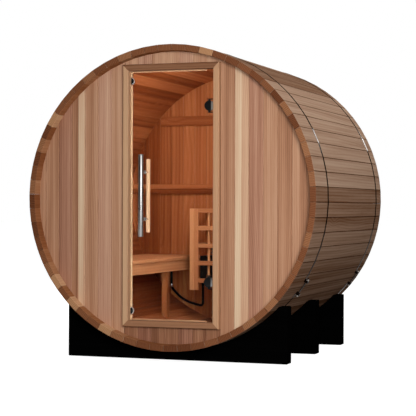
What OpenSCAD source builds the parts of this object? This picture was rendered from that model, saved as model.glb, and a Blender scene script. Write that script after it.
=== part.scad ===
// Barrel sauna on three cradles, glass door in the front wall, bench and heater inside.
// Millimetres, +Z up, the barrel axis along Y, the door facing -Y, the ground at Z = 0.

/* [Barrel] */
// outside diameter over the stave edges
barrel_diameter = 1830; // [1820:5:1960]
// length of the staves, front rim to rear rim
barrel_length = 1660; // [1640:10:2000]
// staves round the barrel, a multiple of eight
stave_count = 64; // [56:8:72]
// thickness of a stave
stave_thickness = 38; // [34:1:42]
// open joint between two staves
stave_joint = 0.6; // [0.4:0.1:1]
// turn of the first stave joint from the horizontal
stave_turn = -1.5; // [-2.5:0.1:2.5]
// height of the lowest stave over the ground
barrel_lift = 61; // [50:1:90]

/* [End walls] */
// front rim to the face of the front wall
front_recess = 70; // [64:1:90]
// rear rim to the face of the back wall
rear_recess = 95; // [60:1:120]
// thickness of the end wall boards
wall_thickness = 38; // [32:1:44]
// depth of the groove in the staves that holds the end walls
croze_depth = 8; // [5:1:12]
// play of the walls in their groove
croze_play = 0.3; // [0.2:0.1:0.6]

/* [Doorway] */
// clear width between the jambs
opening_width = 542; // [500:1:550]
// gap between the upper frame corners and the staves
header_corner_gap = 14; // [8:1:60]
// gap between the lower frame corners and the staves
sill_corner_gap = 40; // [20:1:80]
// face width of the frame members
frame_face = 38; // [34:1:50]
// stand of the frame in front of the wall
frame_proud = 30; // [20:1:40]
// face of the stop bead behind the glass
stop_size = 9; // [8:0.5:12]
// depth of the stop bead
stop_depth = 10; // [8:1:14]
// radius of the half-round catches on the left jamb
catch_radius = 25; // [20:1:28]
// header to the middle of the upper catch
catch_drop = 60; // [45:1:80]
// sill to the middle of the lower catch
catch_rise = 56; // [45:1:80]

/* [Glass door] */
// thickness of the glass
glass_thickness = 8; // [6:1:10]
// gap between the glass and the frame
door_gap = 6; // [5.5:0.5:8]
// jamb to the hinge axis
hinge_inset = 34; // [34:1:40]
// header to the middle of the upper hinge
hinge_upper_drop = 219; // [160:1:260]
// sill to the middle of the lower hinge
hinge_lower_rise = 238; // [180:1:280]
// radius of the hinge clamp discs
clamp_radius = 30; // [26:0.5:31]
// thickness of one hinge clamp disc
clamp_thickness = 8; // [6:0.5:8]
// diameter of the hinge pins
pin_diameter = 8; // [6:0.5:8]

/* [Handles] */
// diameter of the outer steel bar
grip_outer_diameter = 32; // [26:1:34]
// length of the outer steel bar
grip_outer_length = 495; // [430:5:560]
// diameter of the inner wooden bar
grip_inner_diameter = 26; // [22:1:32]
// length of the inner wooden bar
grip_inner_length = 445; // [400:5:520]
// distance of the outer bar from the middle of the glass
grip_outer_standoff = 56; // [50:1:58]
// distance of the inner bar from the middle of the glass
grip_inner_standoff = 60; // [56:1:80]
// distance of the bars from the left jamb
grip_inset = 93; // [70:1:130]
// middle of the bars over the middle of the door
grip_lift = 0; // [-60:1:60]
// spacing of the two stand-off posts
grip_post_spacing = 283; // [240:1:320]
// diameter of the stand-off posts
grip_post_diameter = 14; // [10:1:18]

/* [Cradles] */
// width of a cradle
cradle_width = 1412; // [1360:2:1480]
// thickness of a cradle
cradle_thickness = 89; // [60:1:100]
// height of the flat ends of a cradle
cradle_end_height = 338; // [320:1:360]
// front rim to the face of the front cradle
cradle_front_at = 127; // [100:1:140]
// front rim to the face of the middle cradle
cradle_middle_at = 750; // [650:5:850]
// rear rim to the back of the rear cradle
cradle_rear_at = 190; // [180:1:260]

/* [Bands] */
// width of the steel bands
band_width = 19; // [12:1:25]
// thickness of the steel bands
band_thickness = 1.5; // [1:0.1:2]
// front rim to the front edge of the front band
band_front_at = 255; // [245:1:300]
// rear rim to the back edge of the rear band
band_rear_at = 140; // [110:1:150]
// angle of the tensioner under the horizontal
tensioner_angle = 35; // [30:1:38]
// half of the angle between the two tensioner lugs
tensioner_spread = 2.8; // [2.2:0.1:3.4]
// height of a tensioner lug
lug_height = 22; // [16:1:26]
// length of a tensioner lug
lug_length = 16; // [10:1:20]
// diameter of the tensioner bolt
bolt_diameter = 8; // [6:0.5:10]

/* [Bench] */
// drop of the seat under the barrel axis
bench_drop = 390; // [360:1:420]
// barrel centre plane to the bench edge
bench_edge = 350; // [340:1:400]
// thickness of the seat slats
slat_thickness = 25; // [20:1:30]
// number of seat slats
slat_count = 5; // [4:1:6]
// gap between two slats
slat_gap = 7; // [4:1:10]
// height of the apron under the seat edge
apron_height = 70; // [50:1:80]
// thickness of the apron
apron_thickness = 22; // [18:1:28]
// side of the square leg
leg_size = 42; // [36:1:48]
// middle of the bench back to the middle of the leg
leg_behind = 132; // [70:2:150]
// number of bearers under the slats
bearer_count = 3; // [2:1:4]
// width of a bearer
bearer_width = 38; // [30:1:45]

/* [Back wall battens] */
// height of the upper batten over the barrel axis
batten_upper_rise = 520; // [480:1:560]
// height of the lower rail over the barrel axis
batten_lower_rise = 39; // [20:1:80]
// face of the upper batten and of the lower rail
batten_face = 68; // [55:1:80]
// thickness of the battens
batten_thickness = 20; // [15:1:25]
// height of the nosing on the lower rail
nosing_height = 32; // [25:1:40]
// depth of the nosing on the lower rail
nosing_depth = 35; // [25:1:45]

/* [Heater] */
// width of the heater
heater_width = 480; // [400:2:500]
// depth of the heater
heater_depth = 260; // [220:2:280]
// height of the heater body
heater_height = 190; // [170:2:250]
// drop of the heater foot under the barrel axis
heater_drop = 575; // [560:1:590]
// thickness of the heater wall bracket
heater_standoff = 50; // [40:1:60]
// height of the stone heap
stone_height = 60; // [40:1:80]
// gap between the heater and the guard boards beside it
guard_side_gap = 30; // [20:1:40]
// depth of the guard in front of the back wall
guard_depth = 377; // [370:1:400]
// drop of the guard top under the barrel axis
guard_drop = 63; // [55:1:75]
// height of the guard posts
guard_height = 553; // [540:1:565]
// face width of a guard post
guard_post_face = 62; // [50:1:70]
// thickness of the guard boards
guard_board = 20; // [16:1:24]
// number of guard rails
rail_count = 5; // [4:1:6]
// height of a guard rail
rail_height = 29; // [24:1:34]
// drop from the guard top to the lowest rail foot
rail_reach = 503; // [480:1:510]
// width of the upright strips behind the rails
strip_width = 13; // [10:1:20]
// heater centre to the upright strips
strip_at = 160; // [140:1:190]
// diameter of the cable conduit
conduit_diameter = 18; // [14:1:20]

/* [Hidden] */
$fn = 96;
// half of a chord of a circle at a distance from its centre
function chord_height(radius, at) = sqrt(pow(radius, 2) - pow(at, 2));
half_length = barrel_length / 2;
stave_step = 360 / stave_count;
half_step = stave_step / 2;
outer_radius = barrel_diameter / 2;
outer_flat = outer_radius * cos(half_step);
inner_flat = outer_flat - stave_thickness;
axis_z = outer_radius + barrel_lift;
seat_play = 0.3;
cut = 1;
group_size = stave_count / 8;
wall_flat = inner_flat + croze_depth - croze_play;
room_radius = inner_flat - seat_play;

front_face = -half_length + front_recess;
front_inside = front_face + wall_thickness;
back_face = half_length - rear_recess;
back_inside = back_face - wall_thickness;

opening_left = -opening_width / 2;
opening_right = opening_width / 2;
frame_left_x = opening_left - frame_face;
frame_right_x = opening_right + frame_face;
frame_top_z = axis_z + chord_height(inner_flat - header_corner_gap, frame_right_x);
frame_bottom_z = axis_z - chord_height(inner_flat - sill_corner_gap, frame_right_x);
opening_top = frame_top_z - frame_face;
opening_bottom = frame_bottom_z + frame_face;
opening_height = opening_top - opening_bottom;
frame_front = front_face - frame_proud;
frame_depth = frame_proud + wall_thickness;

glass_mid = front_face + glass_thickness / 2;
glass_left = opening_left + door_gap;
glass_right = opening_right - door_gap;
glass_bottom = opening_bottom + door_gap;
glass_top = opening_top - door_gap;
hinge_x = opening_right - hinge_inset;
hinge_upper_z = opening_top - hinge_upper_drop;
hinge_lower_z = opening_bottom + hinge_lower_rise;
knuckle_radius = 7.5;
pin_play = 0.3;
lug_tall = 6;
pin_lug_radius = 7;
move_gap = 6;
// the discs sit a little towards the jamb and are cut straight there to turn clear of it
clamp_shift = 2;
clamp_side = 26;
lug_low = clamp_radius + move_gap;
lug_play = 0.6;
knuckle_half = lug_low - lug_play;
notch_half = lug_low + lug_tall + move_gap;
notch_depth = pin_lug_radius + move_gap;
leaf_plate_over = 10;
leaf_plate_half = lug_low + lug_tall + leaf_plate_over;
leaf_plate_depth = 26;
leaf_plate_thickness = 4;
stop_front = glass_mid + glass_thickness / 2 + door_gap;
stop_short = 20;
stop_end = hinge_x - stop_short;
catch_depth = 14;
catch_upper_z = opening_top - catch_drop;
catch_lower_z = opening_bottom + catch_rise;

grip_x = opening_left + grip_inset;
grip_mid_z = (opening_top + opening_bottom) / 2 + grip_lift;
grip_outer_y = glass_mid - grip_outer_standoff;
grip_inner_y = glass_mid + grip_inner_standoff;

cradle_front_y = -half_length + cradle_front_at;
cradle_middle_y = -half_length + cradle_middle_at;
cradle_rear_y = half_length - cradle_rear_at - cradle_thickness;

band_flat = outer_flat + seat_play;
band_front_y = -half_length + band_front_at;
band_rear_y = half_length - band_rear_at - band_width;
bolt_over = 14;
// the lugs grow out of the strap and stay clear of the stave edges
lug_clear = 0.1;
lug_foot = outer_radius + lug_clear;

end_gap = 3;
bench_top_z = axis_z - bench_drop;
slat_low_z = bench_top_z - slat_thickness;
bench_back_x = chord_height(room_radius, axis_z - slat_low_z) - seat_play;
slat_width = (bench_back_x - bench_edge - (slat_count - 1) * slat_gap) / slat_count;
bench_front_y = front_inside + end_gap;
bench_back_y = back_inside - end_gap;
bench_length = bench_back_y - bench_front_y;
apron_inset = 10;
apron_x = bench_edge + apron_inset;
apron_back_x = apron_x + apron_thickness;
apron_low_z = slat_low_z - apron_height;
bearer_height = 45;
ledger_width = 45;
ledger_z = slat_low_z - bearer_height;
ledger_far_x = chord_height(room_radius, axis_z - ledger_z) - seat_play;
ledger_near_x = ledger_far_x - ledger_width;
bearer_end = 180;
bearer_length = ledger_near_x - apron_back_x - seat_play;
bearer_pitch = (bench_length - 2 * bearer_end - bearer_width) / (bearer_count - 1);
leg_inset = 4;
leg_x = apron_x + leg_inset;
leg_y = (bench_front_y + bench_back_y) / 2 + leg_behind;

upper_half = chord_height(room_radius, batten_upper_rise + batten_face) - end_gap;
lower_half = chord_height(room_radius, batten_lower_rise + batten_face) - end_gap;

heater_back_y = back_inside - heater_standoff;
heater_front_y = heater_back_y - heater_depth;
heater_foot_z = axis_z - heater_drop;
heater_top_z = heater_foot_z + heater_height;
bracket_width = 240;
bracket_height = 120;
stone_inset = 25;
guard_front_y = back_inside - guard_depth;
guard_top_z = axis_z - guard_drop;
guard_low_z = guard_top_z - guard_height;
guard_half = heater_width / 2 + guard_side_gap + guard_board;
guard_width = 2 * guard_half;
rail_pitch = (rail_reach - rail_height) / (rail_count - 1);
side_rail_length = guard_depth - guard_board;
coupling_diameter = 26;
coupling_length = 26;
conduit_off = coupling_diameter / 2;
conduit_y = back_inside - conduit_off - seat_play;
conduit_entry_drop = 470;
conduit_share = 0.57;
conduit_x = apron_back_x + conduit_share * (ledger_near_x - apron_back_x);
coupling_rise = 48;
bend_middle_in = 70;
bend_middle_rise = 32;
bend_low_in = 130;
bend_low_rise = 38;
bend_middle_x = conduit_x - bend_middle_in;
bend_low_x = conduit_x - bend_low_in;
elbow_over = 3;
elbow_turn = [35, 20, 0];
// the riser stands midway between the guard and the bench apron
riser_x = (guard_half + apron_x) / 2;
riser_foot_rise = 63;
// the last run passes between the two lowest guard rails
last_gap = rail_count - 1.5;
conduit_run_z = guard_top_z - rail_height / 2 - last_gap * rail_pitch;
conduit_run_drop = axis_z - conduit_run_z;
conduit_end_x = bracket_width / 2 + seat_play;
bracket_low_z = conduit_run_z - bracket_height / 3;
// conduit corners: right of the barrel centre, height over the axis, stand in front of the wall line
conduit_path = [
    [-conduit_x, -conduit_entry_drop, -conduit_off],
    [-conduit_x, -conduit_entry_drop, 0],
    [-conduit_x, coupling_rise - chord_height(room_radius, conduit_x), 0],
    [-bend_middle_x, bend_middle_rise - chord_height(room_radius, bend_middle_x), 0],
    [-bend_low_x, bend_low_rise - chord_height(room_radius, bend_low_x), 0],
    [-riser_x, riser_foot_rise - chord_height(room_radius, riser_x), 0],
    [-riser_x, -conduit_run_drop, 0],
    [-conduit_end_x, -conduit_run_drop, 0]
];
// corner of the conduit that carries the coupling
coupling_corner = 2;

// box from its low corner
module block(x, y, z, w, d, h) {
    translate([x, y, z])
        cube([w, d, h]);
}

// round bar along Y from a start point
module bar_y(x, y, z, diameter, length) {
    translate([x, y, z])
        rotate([-90, 0, 0])
            cylinder(d = diameter, h = length);
}

// profile in the XZ plane pushed along Y
module profile_y(y, depth) {
    translate([0, y + depth, 0])
        rotate([90, 0, 0])
            linear_extrude(height = depth)
                children();
}

// one bevelled stave with the two grooves for the end walls, on the +X side of the axis
module stave() {
    outer_half = outer_radius * sin(half_step) - stave_joint / 2;
    inner_half = inner_flat * tan(half_step) - stave_joint / 2;
    difference() {
        profile_y(-half_length, barrel_length)
            polygon([
                [inner_flat, -inner_half],
                [outer_flat, -outer_half],
                [outer_flat, outer_half],
                [inner_flat, inner_half]
            ]);
        croze(front_face);
        croze(back_inside);
    }
}

// groove across one stave for a wall that starts at y
module croze(y) {
    block(
        inner_flat - cut, y - croze_play, -outer_radius * sin(stave_step),
        croze_depth + cut, wall_thickness + 2 * croze_play, 2 * outer_radius * sin(stave_step)
    );
}

// an eighth of the barrel, centred on one of the eight main directions from +X round to +Z
module stave_group(eighth) {
    first = eighth * group_size - floor(group_size / 2);
    translate([0, 0, axis_z])
        for (i = [first : first + group_size - 1])
            rotate([0, -(stave_turn + half_step + i * stave_step), 0])
                stave();
}

// corners of a many-sided outline that runs parallel to the stave faces
function stave_outline(flat) = [
    for (i = [0 : stave_count - 1])
        [
            flat / cos(half_step) * cos(stave_turn + i * stave_step),
            axis_z + flat / cos(half_step) * sin(stave_turn + i * stave_step)
        ]
];

// whole end wall as a many-sided disc that fits the grooves
module wall_disc(y) {
    profile_y(y, wall_thickness)
        polygon(stave_outline(wall_flat));
}

module front_wall_part(x, z, w, h) {
    intersection() {
        wall_disc(front_face);
        block(x, front_face - cut, z, w, wall_thickness + 2 * cut, h);
    }
}

module back_wall_part(x) {
    intersection() {
        wall_disc(back_inside);
        block(x, back_inside - cut, 0, outer_radius, wall_thickness + 2 * cut, 2 * axis_z);
    }
}

module frame_member(points) {
    profile_y(frame_front, frame_depth)
        polygon(points);
}

// pocket in the right jamb for one flush hinge plate
module hinge_plate(z, grow) {
    block(
        opening_right - grow, glass_mid - leaf_plate_depth / 2, z - leaf_plate_half,
        leaf_plate_thickness + grow, leaf_plate_depth, 2 * leaf_plate_half
    );
}

// disc with one straight side towards the jamb
module clamp_disc(y, z) {
    profile_y(y, clamp_thickness)
        intersection() {
            translate([hinge_x + clamp_shift, z])
                circle(r = clamp_radius);
            translate([hinge_x + clamp_side - 2 * clamp_radius, z - clamp_radius])
                square(2 * clamp_radius);
        }
}

// two discs that clamp the glass and the knuckle that turns on the pin
module hinge_clamp(z) {
    difference() {
        union() {
            clamp_disc(glass_mid - glass_thickness / 2 - clamp_thickness, z);
            clamp_disc(glass_mid + glass_thickness / 2, z);
            translate([hinge_x, glass_mid, z - knuckle_half])
                cylinder(r = knuckle_radius, h = 2 * knuckle_half);
        }
        translate([hinge_x, glass_mid, z - knuckle_half - cut])
            cylinder(d = pin_diameter + 2 * pin_play, h = 2 * knuckle_half + 2 * cut);
    }
}

// flush plate on the jamb, two lugs and the pin between them
module hinge_bracket(z) {
    hinge_plate(z, 0);
    for (side = [-1, 1])
        translate([hinge_x, glass_mid, z + side * (lug_low + lug_tall / 2) - lug_tall / 2]) {
            cylinder(r = pin_lug_radius, h = lug_tall);
            translate([0, -pin_lug_radius, 0])
                cube([hinge_inset + cut, 2 * pin_lug_radius, lug_tall]);
        }
    translate([hinge_x, glass_mid, z - lug_low - cut])
        cylinder(d = pin_diameter, h = 2 * lug_low + 2 * cut);
}

// cut in the glass edge round one hinge
module hinge_notch(z) {
    block(
        hinge_x - notch_depth, glass_mid - glass_thickness, z - notch_half,
        notch_depth + hinge_inset, 2 * glass_thickness, 2 * notch_half
    );
}

module cradle(y) {
    profile_y(y, cradle_thickness)
        difference() {
            translate([-cradle_width / 2, 0])
                square([cradle_width, cradle_end_height]);
            translate([0, axis_z])
                circle(r = outer_radius + seat_play);
        }
}

// strap bent over the stave faces, open between its two tensioner lugs, with the bolt that draws it tight
module band(y) {
    strap_face = band_flat + band_thickness;
    bolt_radius = lug_foot + lug_height / 2;
    bolt_half = bolt_radius * sin(tensioner_spread) + lug_length / 2 + bolt_over;
    difference() {
        profile_y(y, band_width)
            difference() {
                polygon(stave_outline(strap_face));
                polygon(stave_outline(band_flat));
            }
        translate([0, y, axis_z])
            rotate([0, tensioner_angle, 0])
                block(
                    outer_radius / 2, -cut, -band_flat * sin(tensioner_spread),
                    outer_radius, band_width + 2 * cut, 2 * band_flat * sin(tensioner_spread)
                );
    }
    translate([0, y, axis_z])
        rotate([0, tensioner_angle, 0]) {
            for (side = [-1, 1])
                rotate([0, side * tensioner_spread, 0])
                    block(
                        lug_foot, 0, -lug_length / 2,
                        lug_height, band_width, lug_length
                    );
            translate([bolt_radius, band_width / 2, -bolt_half])
                cylinder(d = bolt_diameter, h = 2 * bolt_half);
        }
}

module guard_post(x, y) {
    block(x, y, guard_low_z, guard_post_face, guard_board, guard_height);
}

function conduit_point(i) =
    [conduit_path[i][0], conduit_y - conduit_path[i][2], axis_z + conduit_path[i][1]];

// straight length of conduit between two corners
module conduit_run(a, b) {
    step = b - a;
    reach = norm(step);
    translate(a)
        rotate([0, acos(step[2] / reach), atan2(step[1], step[0])])
            cylinder(d = conduit_diameter, h = reach);
}

module staves_right() {
    color("peru")
        stave_group(0);
}

module staves_upper_right() {
    color("burlywood")
        stave_group(1);
}

module staves_top() {
    color("peru")
        stave_group(2);
}

module staves_upper_left() {
    color("burlywood")
        stave_group(3);
}

module staves_left() {
    color("peru")
        stave_group(4);
}

module staves_lower_left() {
    color("burlywood")
        stave_group(5);
}

module staves_bottom() {
    color("peru")
        stave_group(6);
}

module staves_lower_right() {
    color("burlywood")
        stave_group(7);
}

module front_wall_left() {
    color("tan")
        front_wall_part(-outer_radius, 0, outer_radius + frame_left_x, 2 * axis_z);
}

module front_wall_right() {
    color("tan")
        front_wall_part(frame_right_x, 0, outer_radius, 2 * axis_z);
}

module front_wall_over_door() {
    color("tan")
        front_wall_part(frame_left_x, frame_top_z, frame_right_x - frame_left_x, axis_z);
}

module front_wall_under_sill() {
    color("tan")
        front_wall_part(frame_left_x, 0, frame_right_x - frame_left_x, frame_bottom_z);
}

module back_wall_left() {
    color("tan")
        back_wall_part(-outer_radius);
}

module back_wall_right() {
    color("tan")
        back_wall_part(0);
}

module batten_upper() {
    color("sandybrown")
        block(
            -upper_half, back_inside - batten_thickness, axis_z + batten_upper_rise,
            2 * upper_half, batten_thickness, batten_face
        );
}

module batten_lower() {
    color("sandybrown") {
        block(
            -lower_half, back_inside - batten_thickness, axis_z + batten_lower_rise,
            2 * lower_half, batten_thickness, batten_face
        );
        block(
            -lower_half, back_inside - nosing_depth,
            axis_z + batten_lower_rise + batten_face - nosing_height,
            2 * lower_half, nosing_depth, nosing_height
        );
    }
}

module frame_left() {
    color("rosybrown")
        frame_member([
            [frame_left_x, frame_bottom_z],
            [opening_left, opening_bottom],
            [opening_left, opening_top],
            [frame_left_x, frame_top_z]
        ]);
}

module frame_right() {
    color("rosybrown")
        difference() {
            frame_member([
                [frame_right_x, frame_bottom_z],
                [frame_right_x, frame_top_z],
                [opening_right, opening_top],
                [opening_right, opening_bottom]
            ]);
            hinge_plate(hinge_upper_z, cut);
            hinge_plate(hinge_lower_z, cut);
        }
}

module frame_header() {
    color("rosybrown")
        frame_member([
            [opening_left, opening_top],
            [opening_right, opening_top],
            [frame_right_x, frame_top_z],
            [frame_left_x, frame_top_z]
        ]);
}

module frame_sill() {
    color("rosybrown")
        frame_member([
            [frame_left_x, frame_bottom_z],
            [frame_right_x, frame_bottom_z],
            [opening_right, opening_bottom],
            [opening_left, opening_bottom]
        ]);
}

module door_stop() {
    run = stop_end - opening_left - stop_size - seat_play;
    start = opening_left + stop_size + seat_play;
    clear_half = catch_radius + seat_play;
    color("wheat") {
        difference() {
            block(opening_left, stop_front, opening_bottom, stop_size, stop_depth, opening_height);
            for (z = [catch_upper_z, catch_lower_z])
                block(
                    opening_left - cut, stop_front - cut, z - clear_half,
                    stop_size + 2 * cut, stop_depth + 2 * cut, 2 * clear_half
                );
        }
        block(start, stop_front, opening_top - stop_size, run, stop_depth, stop_size);
        block(start, stop_front, opening_bottom, run, stop_depth, stop_size);
    }
}

module door_catches() {
    color("black")
        for (z = [catch_upper_z, catch_lower_z])
            profile_y(stop_front, catch_depth)
                intersection() {
                    translate([opening_left, z])
                        circle(r = catch_radius);
                    translate([opening_left, z - catch_radius])
                        square([catch_radius, 2 * catch_radius]);
                }
}

module door_glass() {
    color("lightcyan", 0.4)
        difference() {
            block(
                glass_left, glass_mid - glass_thickness / 2, glass_bottom,
                glass_right - glass_left, glass_thickness, glass_top - glass_bottom
            );
            hinge_notch(hinge_upper_z);
            hinge_notch(hinge_lower_z);
        }
}

module handle_outer() {
    color("silver") {
        translate([grip_x, grip_outer_y, grip_mid_z - grip_outer_length / 2])
            cylinder(d = grip_outer_diameter, h = grip_outer_length);
        for (side = [-1, 1])
            bar_y(
                grip_x, grip_outer_y, grip_mid_z + side * grip_post_spacing / 2,
                grip_post_diameter, grip_outer_standoff - glass_thickness / 2
            );
    }
}

module handle_inner() {
    color("navajowhite") {
        translate([grip_x, grip_inner_y, grip_mid_z - grip_inner_length / 2])
            cylinder(d = grip_inner_diameter, h = grip_inner_length);
        for (side = [-1, 1])
            bar_y(
                grip_x, glass_mid + glass_thickness / 2, grip_mid_z + side * grip_post_spacing / 2,
                grip_post_diameter, grip_inner_standoff - glass_thickness / 2
            );
    }
}

module hinge_upper_clamp() {
    color("dimgray")
        hinge_clamp(hinge_upper_z);
}

module hinge_lower_clamp() {
    color("dimgray")
        hinge_clamp(hinge_lower_z);
}

module hinge_upper_bracket() {
    color("dimgray")
        hinge_bracket(hinge_upper_z);
}

module hinge_lower_bracket() {
    color("dimgray")
        hinge_bracket(hinge_lower_z);
}

module cradle_front() {
    color("black")
        cradle(cradle_front_y);
}

module cradle_middle() {
    color("black")
        cradle(cradle_middle_y);
}

module cradle_rear() {
    color("black")
        cradle(cradle_rear_y);
}

module band_front() {
    color("lightgray")
        band(band_front_y);
}

module band_rear() {
    color("lightgray")
        band(band_rear_y);
}

module bench_slats() {
    color("chocolate")
        for (i = [0 : slat_count - 1])
            block(
                -bench_edge - (i + 1) * slat_width - i * slat_gap, bench_front_y, slat_low_z,
                slat_width, bench_length, slat_thickness
            );
}

module bench_apron() {
    color("chocolate")
        block(
            -apron_back_x, bench_front_y, apron_low_z,
            apron_thickness, bench_length, apron_height
        );
}

module bench_leg() {
    color("sienna")
        intersection() {
            block(
                -leg_x - leg_size, leg_y - leg_size / 2, 0,
                leg_size, leg_size, apron_low_z
            );
            profile_y(-half_length, barrel_length)
                polygon(stave_outline(room_radius));
        }
}

module bench_bearers() {
    color("sienna") {
        for (i = [0 : bearer_count - 1])
            block(
                -ledger_near_x + seat_play, bench_front_y + bearer_end + i * bearer_pitch, ledger_z,
                bearer_length, bearer_width, bearer_height
            );
        block(
            -ledger_far_x, bench_front_y, ledger_z,
            ledger_width, bench_length, bearer_height
        );
    }
}

module heater_body() {
    color("dimgray") {
        block(
            -heater_width / 2, heater_front_y, heater_foot_z,
            heater_width, heater_depth, heater_height
        );
        block(
            -bracket_width / 2, heater_back_y - cut, bracket_low_z,
            bracket_width, heater_standoff + cut, bracket_height
        );
    }
}

module heater_stones() {
    color("gray")
        block(
            -heater_width / 2 + stone_inset, heater_front_y + stone_inset, heater_top_z,
            heater_width - 2 * stone_inset, heater_depth - 2 * stone_inset, stone_height
        );
}

module guard_posts() {
    color("burlywood") {
        guard_post(-guard_half, guard_front_y);
        guard_post(guard_half - guard_post_face, guard_front_y);
        for (side = [-1, 1])
            block(
                side * strip_at - strip_width / 2, guard_front_y + guard_board, guard_top_z - rail_reach,
                strip_width, strip_width, rail_reach
            );
    }
}

module guard_rails() {
    color("burlywood")
        for (i = [0 : rail_count - 1]) {
            block(
                -guard_half + guard_post_face, guard_front_y,
                guard_top_z - rail_height - i * rail_pitch,
                guard_width - 2 * guard_post_face, guard_board, rail_height
            );
            for (x = [-guard_half, guard_half - guard_board])
                block(
                    x, guard_front_y + guard_board, guard_top_z - rail_height - i * rail_pitch,
                    guard_board, side_rail_length, rail_height
                );
        }
}

module conduit() {
    last = len(conduit_path) - 1;
    color("black") {
        for (i = [0 : last - 1])
            conduit_run(conduit_point(i), conduit_point(i + 1));
        for (i = [1 : last - 1])
            translate(conduit_point(i))
                rotate(elbow_turn)
                    sphere(d = conduit_diameter + elbow_over);
        translate(conduit_point(coupling_corner) + [0, 0, elbow_over])
            cylinder(d = coupling_diameter, h = coupling_length);
    }
}

staves_bottom();
staves_lower_right();
staves_right();
staves_upper_right();
staves_top();
staves_upper_left();
staves_left();
staves_lower_left();
front_wall_left();
front_wall_right();
front_wall_over_door();
front_wall_under_sill();
back_wall_left();
back_wall_right();
batten_upper();
batten_lower();
frame_left();
frame_right();
frame_header();
frame_sill();
door_stop();
door_catches();
door_glass();
handle_outer();
handle_inner();
hinge_upper_clamp();
hinge_lower_clamp();
hinge_upper_bracket();
hinge_lower_bracket();
cradle_front();
cradle_middle();
cradle_rear();
band_front();
band_rear();
bench_slats();
bench_apron();
bench_leg();
bench_bearers();
heater_body();
heater_stones();
guard_posts();
guard_rails();
conduit();
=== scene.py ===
import math
import random

import bmesh
import bpy
from mathutils import Matrix, Vector


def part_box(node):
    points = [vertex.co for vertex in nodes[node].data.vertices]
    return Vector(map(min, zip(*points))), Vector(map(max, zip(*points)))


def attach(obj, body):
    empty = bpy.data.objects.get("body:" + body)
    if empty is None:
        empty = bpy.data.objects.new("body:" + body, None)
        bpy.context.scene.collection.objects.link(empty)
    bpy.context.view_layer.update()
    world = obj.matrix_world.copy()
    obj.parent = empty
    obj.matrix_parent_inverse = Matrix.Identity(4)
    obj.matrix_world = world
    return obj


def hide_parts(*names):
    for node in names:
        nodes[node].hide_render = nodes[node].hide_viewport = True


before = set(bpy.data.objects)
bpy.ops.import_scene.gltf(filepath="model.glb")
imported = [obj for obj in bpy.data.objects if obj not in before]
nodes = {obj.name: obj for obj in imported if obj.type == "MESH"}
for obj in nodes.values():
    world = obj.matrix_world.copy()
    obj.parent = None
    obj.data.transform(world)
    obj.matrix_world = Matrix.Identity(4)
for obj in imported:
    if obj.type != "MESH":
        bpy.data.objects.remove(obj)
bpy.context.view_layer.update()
rng = random.Random(11)

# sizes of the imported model, in metres
RADIUS = 0.915
STAVES = 64
STEP = 2 * math.pi / STAVES
HALF = STEP / 2
TURN = math.radians(-1.5)
OUTER = RADIUS * math.cos(HALF)
STAVE_THICK = 0.038
INNER = OUTER - STAVE_THICK
AXIS_Z = 0.976
HALF_LENGTH = 0.830
FRONT_FACE, FRONT_IN = -0.760, -0.722
BACK_IN, BACK_FACE = 0.697, 0.735
CROZE = 0.008
PLAY = 0.0003
WALL_R = INNER + CROZE - PLAY
FACE = 0.038
OPEN_L, OPEN_R = -0.271, 0.271
OPEN_B, OPEN_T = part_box("frame_left")[0][2] + FACE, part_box("frame_left")[1][2] - FACE
FRAME_PROUD = 0.030
FRAME_FRONT = FRONT_FACE - FRAME_PROUD
GLASS_Y = -0.756
HINGE_X = 0.237
HINGE_Z = (OPEN_T - 0.219, OPEN_B + 0.238)
GRIP_X, GRIP_Z = -0.178, (OPEN_T + OPEN_B) / 2

# wall boards: width, x of one joint, and the width under which a rest of a board is left out
BOARD, FIRST_JOINT, SLIVER = 0.088, 0.310, 0.004
# eased edges of staves and of board joints, and the difference under which two lengths are the same
STAVE_EASE, JOINT_EASE, TINY = 0.0026, 0.0022, 1e-6


# materials
def lin(r, g, b):
    """An 8-bit display colour as the linear colour that a shader takes."""
    out = []
    for c in (r, g, b):
        c /= 255
        out.append(c / 12.92 if c <= 0.04045 else ((c + 0.055) / 1.055) ** 2.4)
    return (*out, 1.0)


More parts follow.
